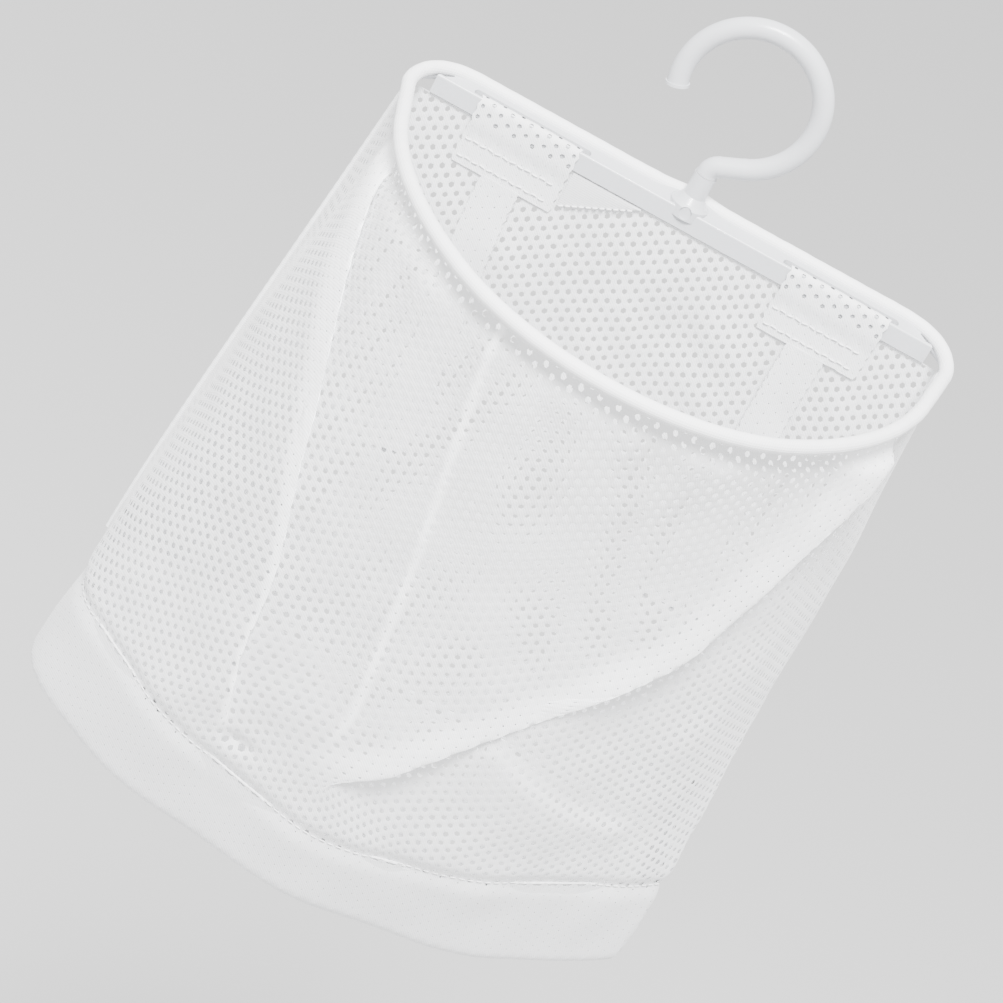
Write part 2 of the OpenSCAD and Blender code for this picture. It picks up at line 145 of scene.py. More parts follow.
def beads(count, depth, pitch):
    """1 with a regular ripple, for the radius of a whipped or bound ridge."""
    return 1 + depth * np.sin(np.arange(count) * pitch)


def run_lengths(points):
    """The distance along a line of points, from its start to each of them."""
    return np.concatenate([[0], np.cumsum(np.linalg.norm(np.diff(points, axis=0), axis=1))])


def read_line(points, at):
    """The points at the given distances along a line of points."""
    run = run_lengths(points)
    return np.stack([np.interp(at, run, column) for column in points.T], -1)


def evenly(points, count):
    """The same line as count points, evenly spaced along it."""
    return read_line(points, np.linspace(0, run_lengths(points)[-1], count))


def rounded(line):
    """The line with its corners cut, three times over."""
    for _ in range(3):
        a, b = line[:-1], line[1:]
        cut = np.stack([0.75 * a + 0.25 * b, 0.25 * a + 0.75 * b], 1).reshape(-1, 2)
        line = np.concatenate([line[:1], cut[1:-1], line[-1:]])
    return line


def share_grid(across, down):
    """Grids of the shares across and down, with the given numbers of points."""
    return np.meshgrid(np.linspace(0, 1, across), np.linspace(0, 1, down))


# ---------------------------------------------------------------- the bag's outline, as in the CAD
def half_width(h):
    return HOOP_HALF + FLARE * np.sin(np.pi / 2 * h)


def drawn_in(h):
    """How far the left side is drawn in at share h down."""
    return DRAW_IN * np.sin(np.pi * h)


def outline(u, h):
    """Plan position at share u round the front, from the left rear corner to the right, and share h down."""
    grow = h ** DRAPE
    flank = HOOP_FLANK + (FOOT_FLANK - HOOP_FLANK) * grow
    nose = HOOP_NOSE + (FOOT_NOSE - HOOP_NOSE) * grow
    a = np.where(u < 0.5, CORNER_LEFT, CORNER_RIGHT) * grow
    v = np.clip(2 * (u - SIDE_SHARE) / (1 - 2 * SIDE_SHARE), 0, 2)
    t = np.where(v < 1, np.pi + a + (np.pi / 2 - a) * v, 1.5 * np.pi + (np.pi / 2 - a) * (v - 1))
    x = half_width(h) * np.cos(t) / np.cos(a)
    y = -flank + nose * (np.sin(t) + np.sin(a)) / (1 - np.sin(a))
    from_corner = np.minimum(u, 1 - u) / SIDE_SHARE
    side = (u < SIDE_SHARE) | (u > 1 - SIDE_SHARE)
    bulge = BULGE * (1 - h) * (1 - from_corner)
    x = np.where(side, (half_width(h) + bulge) * np.sign(u - 0.5), x)
    y = np.where(side, SIDE_Y - (flank + SIDE_Y) * from_corner, y)
    return x + drawn_in(h) * (1 - smooth(u, SIDE_SHARE, DRAW_REACH)), y


def foot_z(y):
    """The foot's height at depth y: it falls evenly from the rear to the front."""
    return REAR_BOTTOM - FRONT_DROP * np.minimum(1, -y / (FOOT_FLANK + FOOT_NOSE))


def wall_foot(u):
    """The front wall's lower edge at share u round it."""
    return foot_z(outline(u, np.ones_like(u))[1])


def bag(u, h):
    """The front wall's place in space."""
    x, y = outline(u, h)
    return np.stack([x - LEAN * h, y, WALL_TOP + (wall_foot(u) - WALL_TOP) * h], -1)


def foot_top(u):
    """The share down at which the foot band's wavy upper edge lies."""
    return 1 - (FOOT_HEIGHT - FOOT_WAVE * np.cos(4 * np.pi * u)) / (WALL_TOP - wall_foot(u))


class Surface:
    """A smooth surface from a grid of points [down, across], read at shares s across and t down."""

    def __init__(self, grid):
        self.grid = grid
        normal = np.cross(np.gradient(grid, axis=0), np.gradient(grid, axis=1))
        self.normal = normal / np.maximum(np.linalg.norm(normal, axis=2, keepdims=True), TINY)

    def facing_front(self):
        """The same surface, with normals that point forwards at its middle."""
        rows, cols = self.grid.shape[:2]
        if self.normal[rows // 2, cols // 2, 1] > 0:
            self.normal = -self.normal
        return self

    def read(self, table, s, t):
        """A value of the table between its four nearest entries."""
        rows, cols = self.grid.shape[:2]
        a = np.clip(s, 0, 1) * (cols - 1)
        b = np.clip(t, 0, 1) * (rows - 1)
        i = np.minimum(a.astype(int), cols - 2)
        j = np.minimum(b.astype(int), rows - 2)
        fa = (a - i)[..., None]
        fb = (b - j)[..., None]
        top = table[j, i] * (1 - fa) + table[j, i + 1] * fa
        low = table[j + 1, i] * (1 - fa) + table[j + 1, i + 1] * fa
        return top * (1 - fb) + low * fb

    def at(self, s, t, lift=0.0):
        """The point at the shares, lifted along the normal."""
        return self.read(self.grid, s, t) + self.read(self.normal, s, t) * np.asarray(lift)[..., None]

    def area(self):
        across = np.diff(self.grid, axis=1)[:-1]
        down = np.diff(self.grid, axis=0)[:, :-1]
        return float(np.linalg.norm(np.cross(across, down), axis=2).sum())


# ---------------------------------------------------------------- meshes
SHARP = math.radians(60)  # faces that meet at more than this show an edge


def piece(name, verts, faces, finish, slot, nodes=(), painted_light=None):
    """A piece that rides on the bag. Its last argument is painted shade at each vertex: how much greyer the
    cloth is made there; below zero it is painted light that makes it paler.
    """
    mesh = bpy.data.meshes.new(name)
    mesh.from_pydata(np.asarray(verts, float).tolist(), [], faces)
    mesh.materials.append(finish)
    if painted_light is not None:
        tone = np.broadcast_to(np.asarray(painted_light, np.float32), len(mesh.vertices))
        attribute = mesh.attributes.new("painted_light", "FLOAT", "POINT")
        attribute.data.foreach_set("value", tone.copy())
    mesh.validate()
    mesh.polygons.foreach_set("use_smooth", [True] * len(mesh.polygons))
    mesh.set_sharp_from_angle(angle=SHARP)
    mesh.update()
    obj = bpy.data.objects.new(name, mesh)
    bpy.context.scene.collection.objects.link(obj)
    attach(obj, "bag")
    if nodes:
        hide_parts(*nodes)
    return obj


# a mesh's six corners from its middle, in thirds of a column across and halves of a row down
HEXAGON = np.array([[2, 0], [1, 1], [-1, 1], [-2, 0], [-1, -1], [1, -1]])
KNIT_BUMPS = 9 * MM  # the size of the knit's slow unevenness
KNIT_SLOW = 0.05  # its height, as a share of the pitch
KNIT_FINE = 0.025  # how far each strand joint strays, as a share of the pitch
HOLE_SPREAD = 0.04  # how much the holes differ in size


def net_mesh(place, width, height, seed, hole=HOLE, thick=STRAND, inside=None, pull=None, cell=CELL,
             shift=0.0):
    """Knitted net as real strands: six-sided holes, each strand a ridge on both faces.

    place(x, y, lift) gives points in space for flat positions in metres. hole and thick are numbers, or
    functions of the flat position. inside keeps a mesh by its middle, and pull brings strands that pass the
    cut's edge back onto it. cell is the pitch, and shift moves the pattern down by a share of it. The result
    is the points, the faces and each point's flat position.
    """
    cols = max(2, round(width / cell[0]))
    rows = max(2, round(height / cell[1]))
    cx = width / cols
    cy = height / rows
    i, j = np.meshgrid(np.arange(cols), np.arange(-1, rows + 1), indexing="ij")
    i = i.ravel()
    j = j.ravel()
    x = (i + 0.5) * cx
    y = (j + 0.5 + (i % 2) / 2 + shift) * cy
    keep = (y > -0.01 * cy) & (y < height + 0.01 * cy)
    if inside is not None:
        keep &= inside(x, y)
    i = i[keep]
    j = j[keep]

    # the joints between strands, each shared by up to three meshes
    key = np.stack([(3 * i)[:, None] + HEXAGON[:, 0], (2 * j + i % 2)[:, None] + HEXAGON[:, 1]], -1)
    keys, corner = np.unique(key.reshape(-1, 2), axis=0, return_inverse=True)
    corner = corner.reshape(-1, 6)
    kx = (keys[:, 0] / 3 + 0.5) * cx
    ky = (keys[:, 1] / 2 + 0.5 + shift) * cy
    kx += ripple(kx, ky, KNIT_BUMPS, KNIT_SLOW * cx, seed) + rng.normal(0, KNIT_FINE * cx, len(kx))
    ky += ripple(kx, ky, KNIT_BUMPS, KNIT_SLOW * cy, seed + 1) + rng.normal(0, KNIT_FINE * cy, len(ky))
    if pull is not None:
        kx, ky = pull(kx, ky)
    kx = np.clip(kx, 0, width)
    ky = np.clip(ky, 0, height)

    # each hole's rim, a smaller copy of its mesh half way through the cloth
    px = kx[corner]
    py = ky[corner]
    mx = px.mean(1, keepdims=True)
    my = py.mean(1, keepdims=True)
    open_share = hole(mx, my) if callable(hole) else hole
    size = open_share * (1 + rng.normal(0, HOLE_SPREAD, (len(mx), 1)))
    rx = mx + (px - mx) * size
    ry = my + (py - my) * size
    half = (thick(kx, ky) if callable(thick) else thick) / 2
    verts = np.concatenate([place(kx, ky, half), place(kx, ky, -half), place(rx.ravel(), ry.ravel(), 0.0)])

    n = len(kx)
    rim = 2 * n + np.arange(len(rx) * 6).reshape(-1, 6)
    corner_next = np.roll(corner, -1, 1)
    rim_next = np.roll(rim, -1, 1)
    front = np.stack([corner, corner_next, rim_next, rim], -1).reshape(-1, 4)
    back = np.stack([n + corner, rim, rim_next, n + corner_next], -1).reshape(-1, 4)
    # strands on the cut's edge are closed between their two ridges
    a = corner.ravel()
    b = corner_next.ravel()
    strand = np.minimum(a, b).astype(np.int64) * n + np.maximum(a, b)
    _, first, uses = np.unique(strand, return_index=True, return_counts=True)
    edge = first[uses == 1]
    cut = np.stack([a[edge], n + a[edge], n + b[edge], b[edge]], -1)
    flat = (np.concatenate([kx, kx, rx.ravel()]), np.concatenate([ky, ky, ry.ravel()]))
    return verts, np.concatenate([front, back, cut]).tolist(), flat


def tube(path, radius, sides=10, flat=1.0, up=(0, 0, 1)):
    """A round or flattened cord along a path, closed at both ends; radius may vary along it."""
    path = np.asarray(path, float)
    radius = np.broadcast_to(radius, len(path))[:, None, None]
    along = np.gradient(path, axis=0)
    along /= np.linalg.norm(along, axis=1, keepdims=True)
    a = np.cross(along, np.asarray(up, float))
    a /= np.maximum(np.linalg.norm(a, axis=1, keepdims=True), TINY)
    b = np.cross(a, along)
    turn = 2 * np.pi * np.arange(sides) / sides
    across = np.cos(turn)[None, :, None] * a[:, None] * flat
    upward = np.sin(turn)[None, :, None] * b[:, None]
    ring = path[:, None] + radius * (across + upward)
    index = np.arange(len(path) * sides).reshape(-1, sides)
    beside_it = np.roll(index, -1, 1)
    quads = np.stack([index[:-1], beside_it[:-1], beside_it[1:], index[1:]], -1).reshape(-1, 4)
    return ring.reshape(-1, 3), quads.tolist() + [index[0, ::-1].tolist(), index[-1].tolist()]


def closed_sheet(front, back):
    """A thin closed sheet between two grids of points."""
    rows, cols = front.shape[:2]
    n = rows * cols
    index = np.arange(n).reshape(rows, cols)
    quads = np.stack([index[:-1, :-1], index[1:, :-1], index[1:, 1:], index[:-1, 1:]], -1).reshape(-1, 4)
    loop = np.concatenate([index[0], index[1:, -1], index[-1, -2::-1], index[-2:0:-1, 0]])
    after = np.roll(loop, -1)
    rim = np.stack([loop, after, n + after, n + loop], -1)
    verts = np.concatenate([front.reshape(-1, 3), back.reshape(-1, 3)])
    return verts, np.concatenate([quads, n + quads[:, ::-1], rim]).tolist()


def join(parts):
    """One mesh from several, each its points and faces first."""
    verts = []
    faces = []
    count = 0
    for part_verts, part_faces, *_ in parts:
        verts.append(np.asarray(part_verts))
        faces += [[count + k for k in face] for face in part_faces]
        count += len(part_verts)
    return np.concatenate(verts), faces


STITCH_POINTS = 6
STITCH_SIDES = 6


def stitches(line, length=3.0 * MM, space=0.9 * MM, radius=0.32 * MM):
    """A row of sewing stitches along a line of points: short lengths of thread, fuller at their middles."""
    swell = radius * (0.9 + 0.2925 * np.sin(np.linspace(0, np.pi, STITCH_POINTS)))
    row_length = run_lengths(line)[-1]
    parts = []
    at = 0.0
    while at + length < row_length:
        stitch = read_line(line, np.linspace(at, at + length, STITCH_POINTS))
        parts.append(tube(stitch, swell, STITCH_SIDES))
        at += length + space
    return join(parts)


# ---------------------------------------------------------------- materials
DRIFT_SCALE = 60  # the noise that colour and roughness follow
DRIFT_ROUGH = 0.07  # how far roughness goes to either side
WAVE_DISTORTION = 1.5  # how far a weave's lines wander


def add_relief(tree, place, shader, relief):
    """Layers of bump, each on top of the one before; a layer is (pattern, scale, strength, distance)."""
    last = None
    for pattern, scale, strength, distance in relief:
        if pattern == "noise":
            texture = tree.nodes.new("ShaderNodeTexNoise")
            texture.inputs["Detail"].default_value = 4
        else:
            texture = tree.nodes.new("ShaderNodeTexWave")
            texture.bands_direction = pattern
            texture.inputs["Distortion"].default_value = WAVE_DISTORTION
        texture.inputs["Scale"].default_value = scale
        tree.links.new(place.outputs["Object"], texture.inputs["Vector"])
        bump = tree.nodes.new("ShaderNodeBump")
        bump.inputs["Strength"].default_value = strength
        bump.inputs["Distance"].default_value = distance
        tree.links.new(texture.outputs["Fac"], bump.inputs["Height"])
        if last is not None:
            tree.links.new(last.outputs["Normal"], bump.inputs["Normal"])
        last = bump
    tree.links.new(last.outputs["Normal"], shader.inputs["Normal"])


def material(name, colour, rough, relief, sheen=0.0, coat=0.0, specular=0.5, spread=0.02):
    """A finish whose colour and roughness drift over the surface. A point attribute greys it as painted
    shade, and pales it as painted light where it is below zero.
    """
    finish = bpy.data.materials.new(name)
    finish.use_nodes = True
    tree = finish.node_tree
    shader = tree.nodes["Principled BSDF"]
    shader.inputs["Specular IOR Level"].default_value = specular
    shader.inputs["Sheen Weight"].default_value = sheen
    shader.inputs["Sheen Roughness"].default_value = 0.5
    shader.inputs["Coat Weight"].default_value = coat
    place = tree.nodes.new("ShaderNodeTexCoord")
    drift = tree.nodes.new("ShaderNodeTexNoise")
    drift.inputs["Scale"].default_value = DRIFT_SCALE
    drift.inputs["Detail"].default_value = 6
    tree.links.new(place.outputs["Object"], drift.inputs["Vector"])

    ramp = tree.nodes.new("ShaderNodeValToRGB")
    dark, light = ramp.color_ramp.elements
    dark.position = 0.3
    light.position = 0.7
    dark.color = [c * (1 - spread) for c in colour] + [1]
    light.color = [min(1, c * (1 + spread / 2)) for c in colour] + [1]
    tree.links.new(drift.outputs["Fac"], ramp.inputs["Fac"])

    # painted shade and painted light: the colour is scaled by one less the point attribute
    painted_light = tree.nodes.new("ShaderNodeAttribute")
    painted_light.attribute_name = "painted_light"
    kept = tree.nodes.new("ShaderNodeMath")
    kept.operation = "SUBTRACT"
    kept.inputs[0].default_value = 1
    tree.links.new(painted_light.outputs["Fac"], kept.inputs[1])
    toned = tree.nodes.new("ShaderNodeVectorMath")
    toned.operation = "SCALE"
    tree.links.new(ramp.outputs["Color"], toned.inputs[0])
    tree.links.new(kept.outputs["Value"], toned.inputs["Scale"])
    tree.links.new(toned.outputs["Vector"], shader.inputs["Base Color"])

    span = tree.nodes.new("ShaderNodeMapRange")
    span.inputs["To Min"].default_value = rough - DRIFT_ROUGH
    span.inputs["To Max"].default_value = rough + DRIFT_ROUGH
    tree.links.new(drift.outputs["Fac"], span.inputs["Value"])
    tree.links.new(span.outputs["Result"], shader.inputs["Roughness"])
    add_relief(tree, place, shader, relief)
    return finish


plastic = material("moulded_white", (0.53, 0.54, 0.56), 0.30, coat=0.05,
                   relief=[("noise", 350, 0.10, 0.4 * MM), ("noise", 25, 0.12, 0.6 * MM)])
yarn = material("net_yarn", (0.80, 0.805, 0.815), 0.75, sheen=0.3, specular=0.25,
                relief=[("DIAGONAL", 420, 0.25, 0.3 * MM), ("noise", 900, 0.25, 0.3 * MM)])
tape = material("woven_tape", (0.86, 0.865, 0.875), 0.62, sheen=0.15, specular=0.35,
                relief=[("X", 300, 0.20, 0.3 * MM), ("Z", 300, 0.20, 0.3 * MM),
                        ("noise", 150, 0.15, 0.4 * MM)])
thread = material("sewing_thread", (0.87, 0.87, 0.875), 0.55, sheen=0.2,
                  relief=[("DIAGONAL", 900, 0.4, 0.2 * MM)])

for node in ("hook", "hanger"):
    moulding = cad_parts[node]
    moulding.data.materials.clear()
    moulding.data.materials.append(plastic)

# ---------------------------------------------------------------- front wall: slack, with its folds
FRONT_W = 520 * MM  # the flat cloth's run round the mouth
FRONT_H = 330 * MM  # its drop

# line is the crest, as shares of the cloth across and down. At the line's two ends, folded is how much cloth
# is folded back under it, and band how wide the doubled cloth shows. turn is the width over which the cloth
# turns, height how high the crest stands, swell how far its rise reaches, and closed how much holes close.
Pleat = namedtuple("Pleat", "line folded turn height swell band closed")
PLEATS = [
    Pleat(line=[(0.15, -0.02), (0.212, 0.12), (0.277, 0.27), (0.314, 0.435), (0.347, 0.60), (0.391, 0.83)],
          folded=(12.5 * MM, 6.5 * MM), turn=5 * MM, height=2.4 * MM, swell=26 * MM,
          band=(28 * MM, 1 * MM), closed=1.0),
    Pleat(line=[(0.40, -0.02), (0.429, 0.23), (0.45, 0.47), (0.463, 0.74)],
          folded=(0, 0), turn=1.8 * MM, height=1.2 * MM, swell=6 * MM,
          band=(0.8 * MM, 0.8 * MM), closed=0.8),
    Pleat(line=[(0.90, -0.05), (0.83, 0.03), (0.775, 0.12), (0.735, 0.23), (0.694, 0.365), (0.645, 0.45),
                (0.57, 0.60), (0.523, 0.705), (0.47, 0.82)],
          folded=(20 * MM, 17 * MM), turn=10 * MM, height=5 * MM, swell=34 * MM,
          band=(34 * MM, 14 * MM), closed=1.0),
    Pleat(line=[(0.62, 0.58), (0.70, 0.68), (0.79, 0.72)],
          folded=(0, 0), turn=6 * MM, height=2.5 * MM, swell=22 * MM,
          band=(0, 0), closed=0.0),
]
PLEAT_FADE = 0.12  # the share of a crest's length over which it rises and dies out
PLEAT_PULL = 150 * MM  # the cloth is drawn towards a crest from about this far off

# the dimple where the left pleat runs out: its place as shares, and its reach across and down
DIMPLE_S = 0.402
DIMPLE_T = 0.812
DIMPLE_ACROSS = 9 * MM
DIMPLE_DOWN = 4 * MM
DIMPLE_DEPTH = 3 * MM

# how the cloth is shaped across its drop, in depths and in shares of the drop
WALL_GRID = (640, 240)  # points across and down
EDGE_CALM = 0.05  # the folds die out this near the cloth's edges
NIP_DEPTH = 2.8 * MM  # along the foot band's upper edge
NIP_REACH = 0.014
TUCK_DEPTH = 2.2 * MM  # under the binding
TUCK_AT = 0.022
TUCK_REACH = 0.016
TOP_RISE = 3.0 * MM  # up into the binding
TOP_REACH = 0.03
CURL_DEPTH = 1.5 * MM  # under the foot
CURL_FROM = 0.985

FOLD_CLOSES = 0.33  # what doubled cloth takes off a hole's share
BAND_CLOSES = 0.38  # what the foot band behind the wall takes off it
DIMPLE_OPENS = 0.25  # what the dimple adds to it
BAND_THINS = 0.35 * MM  # what the wall's thickness loses over the foot band
BAND_PAINTED_SHADE = 0.17  # painted shade: how much greyer the cloth is made there, where the foot band hangs low in shade
FOLD_PAINTED_LIGHT = 0.34  # painted light: how much paler doubled cloth is made, for folds that catch the light


def beside(x, y, line):
    """Distance from flat points to a crest, positive at the right of one that runs down, and the share
    along it."""
    line = rounded(np.array(line) * [FRONT_W, FRONT_H])
    run = run_lengths(line)
    nearest = np.full(x.shape, np.inf)
    sign = np.zeros(x.shape)
    share = np.zeros(x.shape)
    for k in range(len(line) - 1):
        start = line[k]
        d = line[k + 1] - start
        f = np.clip(((x - start[0]) * d[0] + (y - start[1]) * d[1]) / (d @ d), 0, 1)
        off_x = x - start[0] - f * d[0]
        off_y = y - start[1] - f * d[1]
        distance = np.hypot(off_x, off_y)
        nearer = distance < nearest
        nearest = np.where(nearer, distance, nearest)
        sign = np.where(nearer, np.sign(d[0] * off_y - d[1] * off_x), sign)
        share = np.where(nearer, (run[k] + f * (run[k + 1] - run[k])) / run[-1], share)
    return -nearest * sign, share


def dimple(s, t):
    """1 in the middle of the dimple, and 0 away from it."""
    across = (s - DIMPLE_S) * FRONT_W / DIMPLE_ACROSS
    down = (t - DIMPLE_T) * FRONT_H / DIMPLE_DOWN
    return np.exp(-across ** 2 - down ** 2)


def doubled(x, y):
    """1 where a pleat's cloth lies double and its holes look closed, 0 on single cloth."""
    result = np.zeros(np.broadcast(x, y).shape)
    for pleat in PLEATS:
        if not pleat.closed:
            continue
        d, share = beside(x, y, pleat.line)
        band = pleat.band[0] + (pleat.band[1] - pleat.band[0]) * smooth(share, 0, 0.8)
        within = smooth(d, -pleat.turn - 1.25 * band, -pleat.turn - 0.45 * band)
        before_end = 1 - smooth(share, 0.9, 1.0)
        shown = within * (1 - smooth(d, 0, pleat.turn)) * before_end
        result = np.maximum(result, shown * pleat.closed)
    return result


def over_band(x, y):
    """1 where the wall lies over the foot band, 0 above it."""
    return smooth(y / FRONT_H - foot_top(x / FRONT_W), -0.004, 0.01)


def front_folds(s, t):
    """Sideways shift and outward push of the cloth, at shares across and down."""
    x = s * FRONT_W
    y = t * FRONT_H
    push = ripple(x, y, 60 * MM, 2.0 * MM, seed=3, squeeze=0.35) + ripple(x, y, 26 * MM, 0.4 * MM, seed=4)
    shift = np.zeros_like(push)
    for pleat in PLEATS:
        d, share = beside(x, y, pleat.line)
        fade = smooth(share, 0, PLEAT_FADE) * (1 - smooth(share, 1 - PLEAT_FADE, 1))
        step = smooth(d, -pleat.turn, pleat.turn)
        folded = pleat.folded[0] + (pleat.folded[1] - pleat.folded[0]) * share
        reach = np.exp(-np.maximum(np.abs(d) - pleat.turn, 0) / PLEAT_PULL)
        shift += 2 * folded * (0.5 - step) * fade * reach
        rise = np.where(d < 0, np.exp(-(d / pleat.swell) ** 2), 1)
        push += pleat.height * fade * rise * (1 - step)
    gathers = ripple(x, y, 13 * MM, 0.7 * MM, seed=5, squeeze=0.2) * (1 - smooth(t, 0.02, 0.2))
    nip = NIP_DEPTH * np.exp(-((t - foot_top(s)) / NIP_REACH) ** 2)
    push += gathers - nip - DIMPLE_DEPTH * dimple(s, t)
    calm = smooth(t, 0, EDGE_CALM) * smooth(s, 0, EDGE_CALM) * (1 - smooth(s, 1 - EDGE_CALM, 1))
    return shift * calm, push * calm


def front_surface(inset=0.0, folded=True):
    """The hanging front wall, or the calmer surface inside it that the foot band follows."""
    across, down = WALL_GRID
    rows = bag(*share_grid(900, down))
    plain = Surface(np.array([evenly(row, across) for row in rows])).facing_front()
    s, t = share_grid(across, down)
    shift, push = front_folds(s, t)
    if not folded:
        shift = shift * 0
        push = push * 0.3
    at = s + shift / FRONT_W
    out = plain.read(plain.normal, at, t)
    level = out * [1, 1, 0]
    grid = plain.at(at, t) + out * [1, 1, 0.3] * (push - inset)[..., None]
    # the cloth is drawn in under the binding, its top edge runs up into it, and the foot curls under
    tuck = TUCK_DEPTH * np.exp(-((t - TUCK_AT) / TUCK_REACH) ** 2)
    curl = CURL_DEPTH * smooth(t, CURL_FROM, 1.0) ** 2
    grid -= level * (tuck + curl)[..., None]
    grid[..., 2] += TOP_RISE * (1 - smooth(t, 0, TOP_REACH))
    return Surface(grid).facing_front()


def on_front(x, y, lift):
    return front.at(x / FRONT_W, y / FRONT_H, lift)


def front_hole(x, y):
    closes = np.maximum(FOLD_CLOSES * doubled(x, y), BAND_CLOSES * over_band(x, y))
    return HOLE - closes + DIMPLE_OPENS * dimple(x / FRONT_W, y / FRONT_H)


def front_thick(x, y):
    return STRAND - BAND_THINS * over_band(x, y)


front = front_surface()
verts, faces, flat = net_mesh(on_front, FRONT_W, FRONT_H, hole=front_hole, thick=front_thick, seed=11,
                              cell=(4.2 * MM, 5.7 * MM))
# the wall carries painted shade over the foot band and painted light along its doubled folds
front_net = piece("front_wall_net", verts, faces, yarn, "net", nodes=["front_wall"],
                  painted_light=BAND_PAINTED_SHADE * over_band(*flat) - FOLD_PAINTED_LIGHT * doubled(*flat))

# ---------------------------------------------------------------- foot band, inside the front wall's foot
BAND_H = FOOT_HEIGHT + 1 * MM
BAND_FOOT = 0.985  # the share down the wall at which the band ends
LAYER_GAP = 0.9 * MM
inner = front_surface(inset=1.6 * MM, folded=False)


def on_band(depth):
    """Places one layer of the band, at a depth behind the inner surface."""
    def place(x, y, lift):
        s = x / FRONT_W
        top = foot_top(s)
        return inner.at(s, top + (BAND_FOOT - top) * y / BAND_H, lift - depth)
    return place


def band_layer(k):
    return net_mesh(on_band(LAYER_GAP * k), FRONT_W, BAND_H, hole=0.08, thick=0.2 * MM, seed=21 + k,
                    shift=0.3 + 0.4 * k, cell=(3.9 * MM, 4.8 * MM))


# the band is greyed all over as painted shade
band_net = piece("foot_band_net", *join([band_layer(0), band_layer(1)]), yarn, "net", nodes=["foot_band"],
                 painted_light=BAND_PAINTED_SHADE)

SEAM_POINTS = 400
SEAM_R = 0.75 * MM


def foot_seam():
    """The stitched ridge along the band's upper edge, and its stitches on the front wall's outer face."""
    s = np.linspace(0.02, 0.98, SEAM_POINTS)
    ridge = tube(inner.at(s, foot_top(s), -LAYER_GAP), SEAM_R * beads(SEAM_POINTS, 0.2, 1.9), 8, flat=0.7)
    return join([ridge, stitches(front.at(s, foot_top(s), SEAM_R), 2.6 * MM, 1.6 * MM, 0.26 * MM)])


piece("foot_seam_thread", *foot_seam(), thread, "thread", nodes=["foot_seam"])

# ---------------------------------------------------------------- rear wall
REAR_H = REAR_TOP - REAR_BOTTOM
REAR_W = 2 * half_width(1.0) - 3 * MM


def rear_surface():
    """The flat rear wall, with small waves that die out at its edges."""
    s, t = share_grid(240, 200)
    half = half_width(t) + BULGE * (1 - t) - 1.5 * MM
    x = (2 * s - 1) * half - LEAN * t + drawn_in(t) * (1 - smooth(s, 0, DRAW_REACH))
    edge = smooth(s, 0, 0.06) * (1 - smooth(s, 0.94, 1)) * smooth(t, 0.03, 0.2) * (1 - smooth(t, 0.93, 1))
    slack = (ripple(s * REAR_W, t * REAR_H, 60 * MM, 2.2 * MM, seed=8, squeeze=0.4)
             + ripple(s * REAR_W, t * REAR_H, 26 * MM, 0.5 * MM, seed=9))
    return Surface(np.stack([x, WALL_Y + edge * slack, REAR_TOP - REAR_H * t], -1))


def on_rear(x, y, lift):
    return rear.at(x / REAR_W, y / REAR_H, lift)


rear = rear_surface()
verts, faces, _ = net_mesh(on_rear, REAR_W, REAR_H, seed=31)
rear_net = piece("rear_wall_net", verts, faces, yarn, "net", nodes=["rear_wall"])

# ---------------------------------------------------------------- bottom panel, a D with a little sag
BOTTOM_W = 2 * half_width(1.0)
BOTTOM_D = FOOT_FLANK + FOOT_NOSE + SIDE_Y
BOTTOM_GAP = 3.5 * MM  # from its edge to the walls
RIM_POINTS = 400
SIDE_POINTS = round(SIDE_SHARE * RIM_POINTS)
rim_x, rim_y = outline(np.linspace(0, 1, RIM_POINTS), np.ones(RIM_POINTS))


def bottom_depth(x):
    """How far forward the bottom reaches at each x, a little inside the walls."""
    wall = np.interp(x, rim_x[SIDE_POINTS:-SIDE_POINTS], -rim_y[SIDE_POINTS:-SIDE_POINTS])
    return np.where(np.abs(x) < half_width(1.0) - BOTTOM_GAP, wall - BOTTOM_GAP, 0)


def on_bottom(x, y, lift):
    px = x - BOTTOM_W / 2
    py = SIDE_Y - y
    inside = np.clip(1 - (px / half_width(1.0)) ** 2, 0, 1) * np.clip(1 + py / bottom_depth(px), 0, 1)
    sag = 6 * MM * inside ** 0.7 + ripple(px, py, 50 * MM, 0.8 * MM, seed=12)
    return np.stack([px - LEAN, py, foot_z(py) + 2.4 * MM - sag + lift], -1)


def bottom_inside(x, y):
    return y < bottom_depth(x - BOTTOM_W / 2) + SIDE_Y - 1 * MM


def bottom_pull(x, y):
    widest = half_width(1.0) - BOTTOM_GAP - 0.1 * MM
    px = np.clip(x - BOTTOM_W / 2, -widest, widest)
    return px + BOTTOM_W / 2, np.minimum(y, bottom_depth(px) + SIDE_Y)


verts, faces, _ = net_mesh(on_bottom, BOTTOM_W, BOTTOM_D, inside=bottom_inside, pull=bottom_pull, seed=41)
bottom_net = piece("bottom_net", verts, faces, yarn, "net", nodes=["bottom_panel"])

# ---------------------------------------------------------------- binding round the mouth
PATH_POINTS = 620
# along the bar the tape lies over its rear edge: its rise there, and the depths between which it climbs
REAR_RISE = 4.2 * MM
RISE_FROM = CORNER_Y - 0.2 * HOOP_CORNER
RISE_TO = CORNER_Y + 0.95 * HOOP_CORNER
NECK_CLEAR = 4.2 * MM  # how much further back it runs behind the neck
NECK_REACH = 11 * MM  # about half the width of that bend
MOUTH_MIDDLE = [0, -0.06, HOOP_Z]


def arc(x, y, radius, start, end, count):
    """Points on an arc round (x, y), from one angle to another."""
    a = np.linspace(start, end, count)
    return np.stack([x + radius * np.cos(a), y + radius * np.sin(a)], -1)


